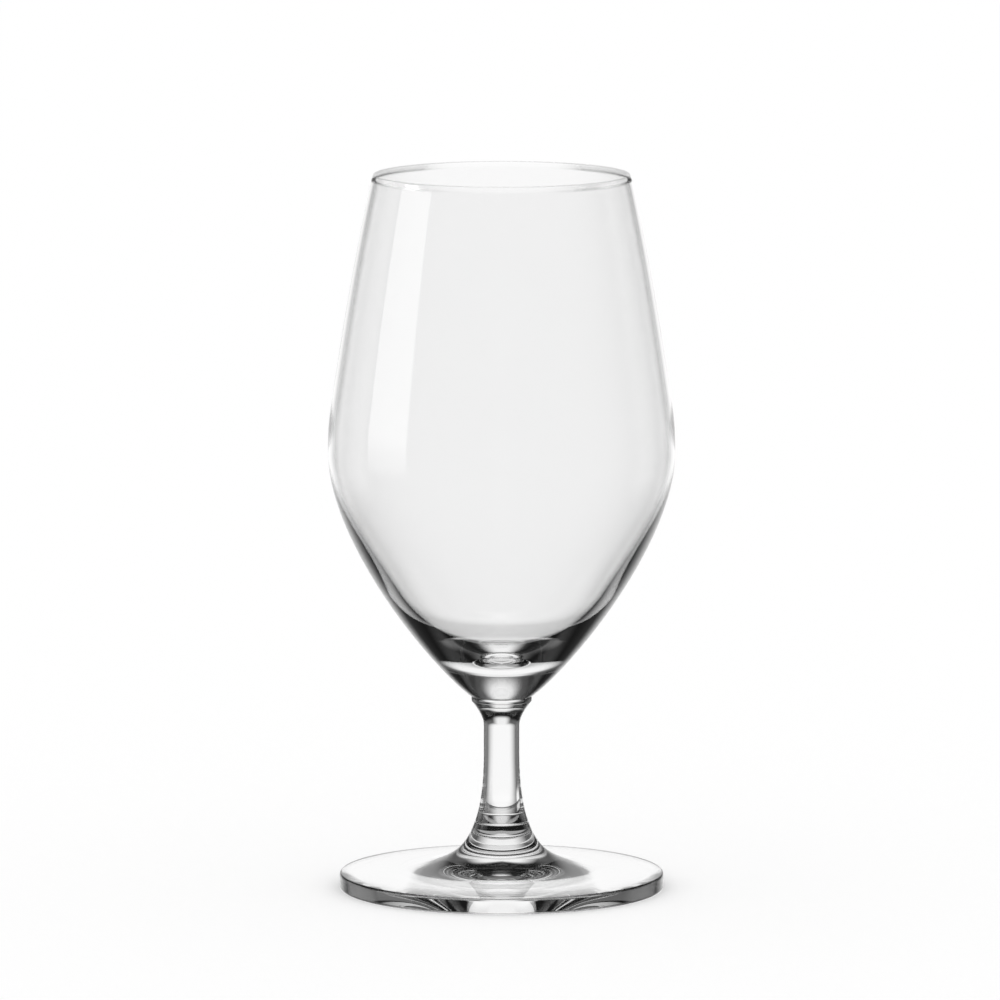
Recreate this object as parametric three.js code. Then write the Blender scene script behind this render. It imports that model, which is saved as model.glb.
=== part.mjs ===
// A stemmed goblet in clear glass, made of three pieces that are fused while hot: a blown bowl, a solid stem
// and a pressed foot. Millimetres, +Z up, origin on the table under the middle of the foot.
// Every piece is turned about Z, so its outline is drawn as (radius, height) from one end of the axis to
// the other.
import * as THREE from "three";

// Foot: a disc with a low edge, whose middle sweeps up into a hub that carries the stem
const footRadius = 37.3;
const footEdgeHeight = 3.6;
const footEdgeRounding = 0.6;
const footTopSlope = 0.072; // rise of the top per millimetre towards the middle
const hubReach = 23.2; // radius at which the hub's sweep leaves the top
const hubToe = 12; // how far inwards the sweep still follows the top
const hubThroat = 5.5; // how far down from the weld the sweep still follows the stem
const hubHeight = 15.3; // table to lower weld
const bearingWidth = 2; // flat ring that stands on the table
const recessCrown = 1.5; // how far out from the axis the rounded tip of the hollow under the foot runs level

// Stem: a round bar that flares down to the foot and up to a short collar under the bowl
const stemLength = 29.1; // lower weld to upper weld
const stemRadius = 4.12;
const lowerWeldRadius = 6.15;
const lowerWeldLean = 0.353; // outward run of the flare per millimetre down, at the lower weld
const stemFlareLength = 16.9;
const stemFlareThroat = 4.6; // how far up from the weld the flare still follows that lean
const stemFlareEase = 6.6; // how far down from the straight bar the flare still follows the bar
const collarRadius = 6.93; // also the radius of the upper weld
const collarHeight = 1.04;
const headLength = 5.6; // straight bar to collar
const headLean = 0.89; // outward run of the head per millimetre up, under the collar
const headDrop = 1.1; // how far down from the collar the head still follows that lean
const headEase = 2; // how far up from the straight bar the head still follows the bar

// Bowl: a tulip, widest low down, drawn in at the rim and solid at its base
const bowlHeight = 120.6; // upper weld to rim
const rimRadius = 29.5;
const rimWall = 0.9;
const rimLean = 0.229; // inward run of the wall per millimetre up, at the rim
const rimEase = 18.7; // how far down from the rim the wall still follows that lean
const shoulderRadius = 38.98;
const shoulderHeight = 67.9;
const shoulderWall = 1;
const shoulderLean = 0.146; // inward run of the wall per millimetre up, at the shoulder
const shoulderEaseUp = 14.2;
const shoulderEaseDown = 4.1;
const bellyRadius = 39.78;
const bellyHeight = 56.5;
const bellyWall = 1.2;
const bellyEaseUp = 6;
const bellyEaseDown = 20.1;
const baseRun = 9.9; // how far out from the upper weld the base still follows its first slope
const baseRise = 7.5; // rise of the base over that run
const thickeningShare = 0.54; // share of the base's curve, from the weld, at which the wall starts to thicken
const thickeningWall = 3.2; // wall at that point, level across
const thickeningSpread = 1.15; // lean of the cavity at that point, against the lean of the outside
const thickeningRun = 9; // how far down from there the cavity still follows that lean
const floorThickness = 9.7; // solid glass between the upper weld and the bottom of the cavity
const floorRun = 12; // how far out from the axis the round bottom of the cavity still runs level

// Fineness of the turned surfaces
const sides = 64;
const longCurveSteps = 11;
const shortCurveSteps = 6;
const roundingSteps = 3;

const lowerWeldZ = hubHeight;
const upperWeldZ = lowerWeldZ + stemLength;
const rimZ = upperWeldZ + bowlHeight;

const clearGlass = { color: 0xf2f5f5, roughness: 0.02, metalness: 0, transparent: true, opacity: 0.35 };

function at(radius, height) {
  return new THREE.Vector2(radius, height);
}

function sweep(start, startHandle, endHandle, end, steps) {
  return new THREE.CubicBezierCurve(start, startHandle, endHandle, end).getPoints(steps);
}

function roundedCorner(start, corner, end) {
  return new THREE.QuadraticBezierCurve(start, corner, end).getPoints(roundingSteps);
}

// Turns an outline about Z. Where two stretches of the outline meet, their shared point is kept once.
function turned(name, outline) {
  const points = outline.filter((point, i) => i === 0 || !point.equals(outline[i - 1]));
  const geometry = new THREE.LatheGeometry(points, sides);
  geometry.rotateX(Math.PI / 2);
  const mesh = new THREE.Mesh(geometry, new THREE.MeshStandardMaterial({ ...clearGlass }));
  mesh.name = name;
  return mesh;
}

function makeFoot() {
  const bearingRadius = footRadius - footEdgeRounding;
  const recessRadius = bearingRadius - bearingWidth;
  const recessDepth = (recessRadius - recessCrown) * footTopSlope; // a cone that keeps the disc evenly thick
  const topAt = (radius) => footEdgeHeight + (footRadius - radius) * footTopSlope;
  const recess = new THREE.QuadraticBezierCurve(
    at(0, recessDepth),
    at(recessCrown, recessDepth),
    at(recessRadius, 0),
  ).getPoints(shortCurveSteps);
  const lowerEdge = roundedCorner(
    at(bearingRadius, 0),
    at(footRadius, 0),
    at(footRadius, footEdgeRounding),
  );
  const upperEdge = roundedCorner(
    at(footRadius, footEdgeHeight - footEdgeRounding),
    at(footRadius, footEdgeHeight),
    at(footRadius - footEdgeRounding, topAt(footRadius - footEdgeRounding)),
  );
  const hub = sweep(
    at(hubReach, topAt(hubReach)),
    at(hubReach - hubToe, topAt(hubReach - hubToe)),
    at(lowerWeldRadius + hubThroat * lowerWeldLean, lowerWeldZ - hubThroat),
    at(lowerWeldRadius, lowerWeldZ),
    longCurveSteps,
  );
  return turned("foot", [...recess, ...lowerEdge, ...upperEdge, ...hub, at(0, lowerWeldZ)]);
}

function makeStem() {
  const flareTopZ = lowerWeldZ + stemFlareLength;
  const collarBottomZ = upperWeldZ - collarHeight;
  const headBottomZ = collarBottomZ - headLength;
  const flare = sweep(
    at(lowerWeldRadius, lowerWeldZ),
    at(lowerWeldRadius - stemFlareThroat * lowerWeldLean, lowerWeldZ + stemFlareThroat),
    at(stemRadius, flareTopZ - stemFlareEase),
    at(stemRadius, flareTopZ),
    shortCurveSteps,
  );
  const head = sweep(
    at(stemRadius, headBottomZ),
    at(stemRadius, headBottomZ + headEase),
    at(collarRadius - headDrop * headLean, collarBottomZ - headDrop),
    at(collarRadius, collarBottomZ),
    shortCurveSteps,
  );
  const collar = [at(collarRadius, upperWeldZ), at(0, upperWeldZ)];
  return turned("stem", [at(0, lowerWeldZ), ...flare, ...head, ...collar]);
}

// The wall from the belly to the lip, as its outer or its inner face
function upperWall(belly, shoulder, lip) {
  const intoShoulder = sweep(
    belly,
    at(belly.x, belly.y + bellyEaseUp),
    at(shoulder.x + shoulderEaseDown * shoulderLean, shoulder.y - shoulderEaseDown),
    shoulder,
    shortCurveSteps,
  );
  const intoLip = sweep(
    shoulder,
    at(shoulder.x - shoulderEaseUp * shoulderLean, shoulder.y + shoulderEaseUp),
    at(lip.x + rimEase * rimLean, lip.y - rimEase),
    lip,
    shortCurveSteps,
  );
  return [...intoShoulder, ...intoLip];
}

function makeBowl() {
  const bellyZ = upperWeldZ + bellyHeight;
  const shoulderZ = upperWeldZ + shoulderHeight;
  const floorZ = upperWeldZ + floorThickness;
  const lipRadius = rimWall / 2;
  const lipTilt = Math.atan(rimLean); // the lip is a half round, square to the wall that it closes
  const lip = new THREE.EllipseCurve(
    rimRadius - lipRadius,
    rimZ - lipRadius,
    lipRadius,
    lipRadius,
    lipTilt,
    lipTilt + Math.PI,
  ).getPoints(shortCurveSteps);
  const outerBelly = at(bellyRadius, bellyZ);
  const innerBelly = at(bellyRadius - bellyWall, bellyZ);
  const baseCurve = new THREE.CubicBezierCurve(
    at(collarRadius, upperWeldZ),
    at(collarRadius + baseRun, upperWeldZ + baseRise),
    at(bellyRadius, bellyZ - bellyEaseDown),
    outerBelly,
  );
  const base = baseCurve.getPoints(longCurveSteps);
  const outerWall = upperWall(outerBelly, at(shoulderRadius, shoulderZ), lip[0]);
  const innerShoulder = at(shoulderRadius - shoulderWall, shoulderZ);
  const innerWall = upperWall(innerBelly, innerShoulder, lip[lip.length - 1]).reverse();
  const thickening = baseCurve.getPoint(thickeningShare).sub(at(thickeningWall, 0));
  const outside = baseCurve.getTangent(thickeningShare);
  const lean = (thickeningSpread * outside.x) / outside.y;
  const evenRun = (bellyZ - thickening.y) / 3;
  const cavityWall = sweep(
    innerBelly,
    at(innerBelly.x, bellyZ - evenRun),
    at(thickening.x + evenRun * lean, thickening.y + evenRun),
    thickening,
    shortCurveSteps,
  );
  const cavityBottom = sweep(
    thickening,
    at(thickening.x - thickeningRun * lean, thickening.y - thickeningRun),
    at(floorRun, floorZ),
    at(0, floorZ),
    longCurveSteps,
  );
  const outsideLine = [at(0, upperWeldZ), ...base, ...outerWall, ...lip];
  return turned("bowl", [...outsideLine, ...innerWall, ...cavityWall, ...cavityBottom]);
}

const goblet = new THREE.Group();
goblet.name = "goblet";
goblet.add(makeFoot(), makeStem(), makeBowl());

export default goblet;
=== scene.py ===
import math

import bmesh
import bpy
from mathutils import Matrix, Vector
from mathutils.geometry import interpolate_bezier


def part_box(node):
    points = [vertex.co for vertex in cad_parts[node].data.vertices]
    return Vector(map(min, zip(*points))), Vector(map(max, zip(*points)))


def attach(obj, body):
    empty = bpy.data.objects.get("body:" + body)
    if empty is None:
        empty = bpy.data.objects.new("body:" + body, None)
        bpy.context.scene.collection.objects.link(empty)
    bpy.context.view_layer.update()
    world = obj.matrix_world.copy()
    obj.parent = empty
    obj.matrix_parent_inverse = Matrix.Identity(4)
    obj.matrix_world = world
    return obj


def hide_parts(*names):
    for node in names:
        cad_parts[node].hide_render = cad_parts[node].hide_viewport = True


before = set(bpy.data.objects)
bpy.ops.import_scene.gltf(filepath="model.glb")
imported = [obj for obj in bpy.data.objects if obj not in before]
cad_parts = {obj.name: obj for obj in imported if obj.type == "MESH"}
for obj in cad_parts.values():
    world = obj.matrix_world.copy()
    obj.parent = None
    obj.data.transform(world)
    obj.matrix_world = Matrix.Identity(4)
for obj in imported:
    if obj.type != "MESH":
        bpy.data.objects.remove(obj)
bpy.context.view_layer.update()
scene = bpy.context.scene
scene.view_settings.view_transform = "Standard"
mm = 0.001
print("frame loaded:", ", ".join(sorted(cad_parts)))


# camera: a long lens, a little above the rim, as the photograph was taken
cameraSet = {
    "place": (-0.00037, -2.2629, 0.39625),
    "aimHeight": 0.089865,
    "lens": 358.7,
    "sensor": 36.0,
    "seesTo": 20.0,
}


def makeCamera(look):
    data = bpy.data.cameras.new("camera")
    data.lens = look["lens"]
    data.sensor_width = look["sensor"]
    data.clip_end = look["seesTo"]
    camera = bpy.data.objects.new("camera", data)
    scene.collection.objects.link(camera)
    camera.location = look["place"]
    aim = Vector((look["place"][0], 0.0, look["aimHeight"]))
    camera.rotation_euler = (aim - camera.location).to_track_quat("-Z", "Y").to_euler()
    scene.camera = camera


makeCamera(cameraSet)
print("camera set")


# outlines are (radius, height) in millimetres, and run from one end of the axis to the other
def at(radius, height):
    return Vector((radius, height))


def sweep(start, startHandle, endHandle, end, steps):
    return interpolate_bezier(start, startHandle, endHandle, end, steps + 1)


def pointOn(curve, share):
    a, b, c = (p.lerp(q, share) for p, q in zip(curve, curve[1:]))
    low, high = a.lerp(b, share), b.lerp(c, share)
    return low.lerp(high, share), high - low


def bend(start, corner, end, steps):
    return sweep(start, start.lerp(corner, 2 / 3), end.lerp(corner, 2 / 3), end, steps)


turning = {
    "sides": 192,
    "sharpAngle": 25.0,  # degrees: an edge sharper than this stays an edge
    "mergeGap": 0.0005,
}


def turnOutline(name, outline, weldHeights):
    mesh = bpy.data.meshes.new(name)
    bm = bmesh.new()
    rings = []
    last = None
    for point in outline:
        if last is not None and (point - last).length < turning["mergeGap"]:
            continue
        last = point
        count = turning["sides"] if point.x > turning["mergeGap"] else 1
        ring = []
        for i in range(count):
            turn = 2 * math.pi * i / count
            x = point.x * math.cos(turn) if count > 1 else 0.0
            y = point.x * math.sin(turn) if count > 1 else 0.0
            ring.append(bm.verts.new(Vector((x, y, point.y)) * mm))
        rings.append(ring)
    for low, high in zip(rings, rings[1:]):
        count = max(len(low), len(high))
        for i in range(count):
            j = (i + 1) % count
            corners = [low[i % len(low)], low[j % len(low)], high[j % len(high)], high[i % len(high)]]
            bm.faces.new(list(dict.fromkeys(corners)))
    for face in bm.faces:
        face.smooth = True
        heights = [corner.co.z for corner in face.verts]
        for weld in weldHeights:
            if max(abs(z - weld * mm) for z in heights) < turning["mergeGap"] * mm:
                face.material_index = 1  # the weld, after the piece's own glass
    for edge in bm.edges:
        edge.smooth = edge.calc_face_angle(0.0) < math.radians(turning["sharpAngle"])
    bm.to_mesh(mesh)
    bm.free()
    piece = bpy.data.objects.new(name, mesh)
    scene.collection.objects.link(piece)
    return piece


# the frame gives each piece's radius and top; its dictionary gives the shape between
def reach(node):
    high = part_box(node)[1]
    return high.x / mm, high.z / mm


footRadius, lowerWeldZ = reach("foot")
upperWeldZ = reach("stem")[1]
bellyRadius, rimZ = reach("bowl")

footShape = {
    "edgeHeight": 3.6,
    "edgeRounding": 0.6,
    "topSlope": 0.072,
    "hubReach": 23.2,
    "hubToe": 12.0,
    "hubThroat": 5.5,
    "weldRadius": 6.15,
    "weldLean": 0.353,
    "bearingWidth": 2.0,
    "recessCrown": 1.5,
    "recessSteps": 48,
    "edgeSteps": 8,
    "hubSteps": 56,
}


def makeFoot(shape):
    edge = shape["edgeRounding"]
    bearing = footRadius - edge
    recess = bearing - shape["bearingWidth"]
    crown = at(shape["recessCrown"], (recess - shape["recessCrown"]) * shape["topSlope"])
    weld = at(shape["weldRadius"], lowerWeldZ)

    def topAt(radius):
        return at(radius, shape["edgeHeight"] + (footRadius - radius) * shape["topSlope"])

    edgeTop = at(footRadius, shape["edgeHeight"] - edge)
    outline = bend(at(0, crown.y), crown, at(recess, 0), shape["recessSteps"])
    outline += bend(at(bearing, 0), at(footRadius, 0), at(footRadius, edge), shape["edgeSteps"])
    outline += bend(edgeTop, topAt(footRadius), topAt(bearing), shape["edgeSteps"])
    outline += sweep(
        topAt(shape["hubReach"]),
        topAt(shape["hubReach"] - shape["hubToe"]),
        weld + at(shape["hubThroat"] * shape["weldLean"], -shape["hubThroat"]),
        weld,
        shape["hubSteps"],
    )
    outline.append(at(0, lowerWeldZ))
    return turnOutline("pressedFoot", outline, [lowerWeldZ])


stemShape = {
    "radius": 4.12,
    "flareLength": 16.9,
    "flareThroat": 4.6,
    "flareEase": 6.6,
    "collarRadius": 6.93,
    "collarHeight": 1.04,
    "headLength": 5.6,
    "headLean": 0.89,
    "headDrop": 1.1,
    "headEase": 2.0,
    "flareSteps": 36,
    "headSteps": 28,
}


def makeStem(shape, foot):
    weld = at(foot["weldRadius"], lowerWeldZ)
    flareTop = at(shape["radius"], lowerWeldZ + shape["flareLength"])
    collar = at(shape["collarRadius"], upperWeldZ - shape["collarHeight"])
    headFoot = at(shape["radius"], collar.y - shape["headLength"])
    outline = [at(0, lowerWeldZ)]
    outline += sweep(
        weld,
        weld + at(-shape["flareThroat"] * foot["weldLean"], shape["flareThroat"]),
        flareTop - at(0, shape["flareEase"]),
        flareTop,
        shape["flareSteps"],
    )
    outline += sweep(
        headFoot,
        headFoot + at(0, shape["headEase"]),
        collar - at(shape["headDrop"] * shape["headLean"], shape["headDrop"]),
        collar,
        shape["headSteps"],
    )
    outline += [at(shape["collarRadius"], upperWeldZ), at(0, upperWeldZ)]
    return turnOutline("drawnStem", outline, [lowerWeldZ, upperWeldZ])


bowlShape = {
    "rimRadius": 29.5,
    "rimWall": 0.9,
    "rimLean": 0.229,
    "rimEase": 18.7,
    "shoulderRadius": 38.98,
    "shoulderHeight": 67.9,
    "shoulderWall": 1.0,
    "shoulderLean": 0.146,
    "shoulderEaseUp": 14.2,
    "shoulderEaseDown": 4.1,
    "bellyHeight": 56.5,
    "bellyWall": 1.2,
    "bellyEaseUp": 6.0,
    "bellyEaseDown": 20.1,
    "baseRun": 9.9,
    "baseRise": 7.5,
    "thickeningShare": 0.54,
    "thickeningWall": 3.2,
    "thickeningSpread": 1.15,
    "thickeningRun": 9.0,
    "floorThickness": 9.7,
    "floorRun": 12.0,
    "baseSteps": 64,
    "shoulderSteps": 20,
    "upperSteps": 36,
    "lipSteps": 16,
    "wallSteps": 32,
    "floorSteps": 48,
}


def upperWall(shape, belly, shoulder, lip):
    lean = shape["shoulderLean"]
    into = sweep(
        belly,
        belly + at(0, shape["bellyEaseUp"]),
        shoulder + at(shape["shoulderEaseDown"] * lean, -shape["shoulderEaseDown"]),
        shoulder,
        shape["shoulderSteps"],
    )
    into += sweep(
        shoulder,
        shoulder + at(-shape["shoulderEaseUp"] * lean, shape["shoulderEaseUp"]),
        lip + at(shape["rimEase"] * shape["rimLean"], -shape["rimEase"]),
        lip,
        shape["upperSteps"],
    )
    return into


def makeBowl(shape, stem):
    lipRadius = shape["rimWall"] / 2
    lipMiddle = at(shape["rimRadius"] - lipRadius, rimZ - lipRadius)
    lipTilt = math.atan(shape["rimLean"])
    lip = []
    for i in range(shape["lipSteps"] + 1):
        turn = lipTilt + math.pi * i / shape["lipSteps"]
        lip.append(lipMiddle + lipRadius * at(math.cos(turn), math.sin(turn)))
    belly = at(bellyRadius, upperWeldZ + shape["bellyHeight"])
    innerBelly = belly - at(shape["bellyWall"], 0)
    shoulder = at(shape["shoulderRadius"], upperWeldZ + shape["shoulderHeight"])
    collar = at(stem["collarRadius"], upperWeldZ)
    floor = at(0, upperWeldZ + shape["floorThickness"])
    baseCurve = (
        collar,
        collar + at(shape["baseRun"], shape["baseRise"]),
        belly - at(0, shape["bellyEaseDown"]),
        belly,
    )
    outside, heading = pointOn(baseCurve, shape["thickeningShare"])
    thickening = outside - at(shape["thickeningWall"], 0)
    lean = at(shape["thickeningSpread"] * heading.x / heading.y, 1)
    evenRun = (belly.y - thickening.y) / 3
    outline = [at(0, upperWeldZ)]
    outline += sweep(*baseCurve, shape["baseSteps"])
    outline += upperWall(shape, belly, shoulder, lip[0])
    outline += lip
    outline += reversed(upperWall(shape, innerBelly, shoulder - at(shape["shoulderWall"], 0), lip[-1]))
    outline += sweep(
        innerBelly,
        innerBelly - at(0, evenRun),
        thickening + evenRun * lean,
        thickening,
        shape["wallSteps"],
    )
    outline += sweep(
        thickening,
        thickening - shape["thickeningRun"] * lean,
        floor + at(shape["floorRun"], 0),
        floor,
        shape["floorSteps"],
    )
    return turnOutline("blownBowl", outline, [upperWeldZ])


bowl = makeBowl(bowlShape, stemShape)
stem = makeStem(stemShape, footShape)
foot = makeFoot(footShape)
print("pieces turned:", ", ".join(f"{p.name} {len(p.data.polygons)} faces" for p in (bowl, stem, foot)))


# glass
glassIor = 1.5


def addNode(tree, kind, **values):
    node = tree.nodes.new(kind)
    for name, value in values.items():
        setattr(node, name, value)
    return node


def mathNode(tree, operation, first, second=None):
    node = addNode(tree, "ShaderNodeMath", operation=operation)
    for socket, value in zip(node.inputs, (first, second)):
        if isinstance(value, (int, float)):
            socket.default_value = value
        elif value is not None:
            tree.links.new(value, socket)
    return node.outputs[0]


def ramp(tree, value, low, high):
    node = addNode(tree, "ShaderNodeMapRange", interpolation_type="SMOOTHSTEP")
    tree.links.new(value, node.inputs["Value"])
    node.inputs["From Min"].default_value = low
    node.inputs["From Max"].default_value = high
    return node.outputs["Result"]


def makeGlass(name, look):
    material = bpy.data.materials.new(name)
    material.use_nodes = True
    tree = material.node_tree
    glass = tree.nodes["Principled BSDF"]
    glass.inputs["Base Color"].default_value = (1.0, 1.0, 1.0, 1.0)
    glass.inputs["Transmission Weight"].default_value = 1.0
    glass.inputs["IOR"].default_value = glassIor
    glass.inputs["Roughness"].default_value = 0.0
    place = addNode(tree, "ShaderNodeTexCoord").outputs["Object"]
    spread = addNode(tree, "ShaderNodeMapping")
    spread.inputs["Scale"].default_value = [1.0 / (length * mm) for length in look["waveLength"]]
    tree.links.new(place, spread.inputs["Vector"])
    waves = addNode(tree, "ShaderNodeTexNoise")
    waves.inputs["Scale"].default_value = 1.0
    waves.inputs["Detail"].default_value = look["detail"]
    tree.links.new(spread.outputs["Vector"], waves.inputs["Vector"])
    bump = addNode(tree, "ShaderNodeBump")
    bump.inputs["Distance"].default_value = look["waveHeight"] * mm
    tree.links.new(waves.outputs["Fac"], bump.inputs["Height"])
    tree.links.new(bump.outputs["Normal"], glass.inputs["Normal"])
    return material


# most light passes straight through the lip, which softens its dark lines
def clearLip(material, look):
    tree = material.node_tree
    glass = tree.nodes["Principled BSDF"]
    output = tree.nodes["Material Output"]
    axes = addNode(tree, "ShaderNodeSeparateXYZ")
    tree.links.new(addNode(tree, "ShaderNodeTexCoord").outputs["Object"], axes.inputs[0])
    lip = ramp(tree, axes.outputs["Z"], (rimZ - look["from"]) * mm, (rimZ - look["to"]) * mm)
    mix = addNode(tree, "ShaderNodeMixShader")
    tree.links.new(mathNode(tree, "MULTIPLY", lip, look["share"]), mix.inputs[0])
    tree.links.new(glass.outputs[0], mix.inputs[1])
    tree.links.new(addNode(tree, "ShaderNodeBsdfTransparent").outputs[0], mix.inputs[2])
    tree.links.new(mix.outputs[0], output.inputs["Surface"])


def makeWeld():
    material = bpy.data.materials.new("weld")
    material.use_nodes = True
    tree = material.node_tree
    tree.nodes.clear()
    clear = addNode(tree, "ShaderNodeBsdfTransparent")
    output = addNode(tree, "ShaderNodeOutputMaterial")
    tree.links.new(clear.outputs[0], output.inputs["Surface"])
    return material


# the faint waves that blowing, drawing and pressing leave, by length along x, y and z and by height, in mm
bowlGlass = {"slot": "bowl_glass", "waveLength": (60.0, 60.0, 16.0), "waveHeight": 0.004, "detail": 1.0}
stemGlass = {"slot": "stem_glass", "waveLength": (5.0, 5.0, 30.0), "waveHeight": 0.002, "detail": 1.0}
footGlass = {"slot": "foot_glass", "waveLength": (18.0, 18.0, 18.0), "waveHeight": 0.004, "detail": 2.0}
lipGlass = {"from": 1.8, "to": 1.0, "share": 0.75}  # millimetres below the rim
weld = makeWeld()
for piece, node, look in ((bowl, "bowl", bowlGlass), (stem, "stem", stemGlass), (foot, "foot", footGlass)):
    piece.data.materials.append(makeGlass(look["slot"], look))
    piece.data.materials.append(weld)
    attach(piece, "root")
    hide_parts(node)
clearLip(bowl.data.materials[0], lipGlass)
print("glass on")


# studio: the lens and the table see a plain white set, and the glass sees a lit spot behind it and strips
# across is degrees from straight behind the goblet towards the right, up is degrees above the horizon
spot = {"middle": -13, "aside": 33, "below": 20, "above": 18, "bright": 0.5, "dark": 1.5, "light": 1.02}
strips = {
    "backdrop": {"across": (-15, 15), "up": (-15, 27), "soft": (9, 8), "light": 0.93, "seenBy": "any"},
    "surround": {"across": (-58, 58), "up": (-36, 20), "soft": (8, 10), "light": 0.13, "seenBy": "any"},
    "tableFar": {"across": (-14, 14), "up": (-66, -20), "soft": (8, 5), "light": 0.78, "seenBy": "any"},
    "tableNear": {"across": (-63, 63), "up": (-95, -47), "soft": (4, 6), "light": 0.4, "seenBy": "any"},
    "underFoot": {"across": (-200, 200), "up": (-95, -40), "soft": (4, 6), "light": 0.75, "seenBy": "piped"},
    "ceiling": {"across": (-88, 88), "up": (75, 95), "soft": (9, 12), "light": 1, "seenBy": "any"},
    "leftFill": {"across": (-78, -38), "up": (-20, 16), "soft": (8, 8), "light": 1.2, "seenBy": "sheen"},
    "rightFill": {"across": (38, 78), "up": (-20, 16), "soft": (8, 8), "light": 0.9, "seenBy": "sheen"},
    "softbox": {"across": (-114, -80), "up": (-7, 22), "soft": (1, 9), "light": 2.3, "seenBy": "sheen"},
    "leftWall": {"across": (-104, -76), "up": (-14, 7), "soft": (6, 5), "light": 1, "seenBy": "straight"},
    "leftCorner": {"across": (-53, -37), "up": (-33, -19), "soft": (4, 3), "light": 1, "seenBy": "straight"},
    "frontCorner": {"across": (120, 150), "up": (-28, -5), "soft": (6, 5), "light": 1, "seenBy": "straight"},
}
shade = 0.01  # what the glass sees between them
trappedLight = 0.33  # what is left of the table's light once it has been caught in the glass


def window(tree, value, span, soft):
    rise = ramp(tree, value, span[0] - soft, span[0] + soft)
    fall = ramp(tree, value, span[1] - soft, span[1] + soft)
    return mathNode(tree, "SUBTRACT", rise, fall)


def addSpot(tree, across, up):
    rise = mathNode(tree, "SUBTRACT", up, spot["middle"])
    aside = mathNode(tree, "DIVIDE", across, spot["aside"])
    height = mathNode(
        tree,
        "MAXIMUM",
        mathNode(tree, "DIVIDE", rise, spot["above"]),
        mathNode(tree, "DIVIDE", rise, -spot["below"]),
    )
    squares = (mathNode(tree, "MULTIPLY", side, side) for side in (aside, height))
    distance = mathNode(tree, "SQRT", mathNode(tree, "ADD", *squares))
    return mathNode(tree, "MULTIPLY", ramp(tree, distance, spot["dark"], spot["bright"]), spot["light"])


def addStrips(tree, across, up, seenBy):
    brightest = mathNode(tree, "MAXIMUM", addSpot(tree, across, up), shade)
    for strip in strips.values():
        shape = mathNode(
            tree,
            "MULTIPLY",
            window(tree, across, strip["across"], strip["soft"][0]),
            window(tree, up, strip["up"], strip["soft"][1]),
        )
        light = mathNode(tree, "MULTIPLY", shape, strip["light"])
        light = mathNode(tree, "MULTIPLY", light, seenBy[strip["seenBy"]])
        brightest = mathNode(tree, "MAXIMUM", light, brightest)
    return brightest


def makeStudio():
    world = bpy.data.worlds.new("studio")
    scene.world = world
    world.use_nodes = True
    world.cycles.sampling_method = "NONE"
    tree = world.node_tree
    background = tree.nodes["Background"]
    direction = addNode(tree, "ShaderNodeTexCoord").outputs["Generated"]
    axes = addNode(tree, "ShaderNodeSeparateXYZ")
    tree.links.new(direction, axes.inputs[0])
    x, y, z = axes.outputs
    across = mathNode(tree, "DEGREES", mathNode(tree, "ARCTAN2", x, y))
    up = mathNode(tree, "DEGREES", mathNode(tree, "ARCSINE", z))
    path = addNode(tree, "ShaderNodeLightPath").outputs
    # depths count whole bounces, so each limit lies halfway between two counts
    straight = mathNode(tree, "LESS_THAN", path["Glossy Depth"], 0.5)
    bounced = mathNode(tree, "GREATER_THAN", path["Glossy Depth"], 0.5)
    firstFace = mathNode(tree, "LESS_THAN", path["Transmission Depth"], 0.5)
    sheen = mathNode(tree, "MULTIPLY", bounced, firstFace)
    piped = mathNode(tree, "GREATER_THAN", path["Glossy Depth"], 1.5)  # reflected more than once
    seenBy = {"any": 1.0, "straight": straight, "sheen": sheen, "piped": piped}
    inGlass = mathNode(tree, "MAXIMUM", path["Is Glossy Ray"], path["Is Transmission Ray"])
    fromLens = mathNode(tree, "LESS_THAN", path["Diffuse Depth"], 0.5)
    mix = addNode(tree, "ShaderNodeMix", data_type="FLOAT")
    tree.links.new(mathNode(tree, "MULTIPLY", inGlass, fromLens), mix.inputs["Factor"])
    lost = mathNode(tree, "MULTIPLY", bounced, 1.0 - trappedLight)
    tree.links.new(mathNode(tree, "SUBTRACT", 1.0, lost), mix.inputs["A"])
    tree.links.new(addStrips(tree, across, up, seenBy), mix.inputs["B"])
    tree.links.new(mix.outputs["Result"], background.inputs["Strength"])
    background.inputs["Color"].default_value = (1.0, 1.0, 1.0, 1.0)


makeStudio()


# the table lies a hair under the foot, so that their faces don't meet
tableLook = {"radius": 3.0, "sides": 96, "drop": 0.00003, "colour": (1.0, 1.0, 1.0)}


def makeTable(look):
    mesh = bpy.data.meshes.new("table")
    bm = bmesh.new()
    bmesh.ops.create_circle(bm, cap_ends=True, segments=look["sides"], radius=look["radius"])
    bm.to_mesh(mesh)
    bm.free()
    table = bpy.data.objects.new("table", mesh)
    scene.collection.objects.link(table)
    table.location.z = -look["drop"]
    table.visible_transmission = False
    table.visible_glossy = False
    material = bpy.data.materials.new("tableWhite")
    material.use_nodes = True
    tree = material.node_tree
    tree.nodes.clear()
    white = addNode(tree, "ShaderNodeBsdfDiffuse")
    white.inputs["Color"].default_value = (*look["colour"], 1.0)
    output = addNode(tree, "ShaderNodeOutputMaterial")
    tree.links.new(white.outputs[0], output.inputs["Surface"])
    mesh.materials.append(material)


makeTable(tableLook)
scene.cycles.max_bounces = 32
scene.cycles.transmission_bounces = 32
scene.cycles.glossy_bounces = 24
scene.cycles.transparent_max_bounces = 32
scene.cycles.blur_glossy = 0.0
print("studio lit")
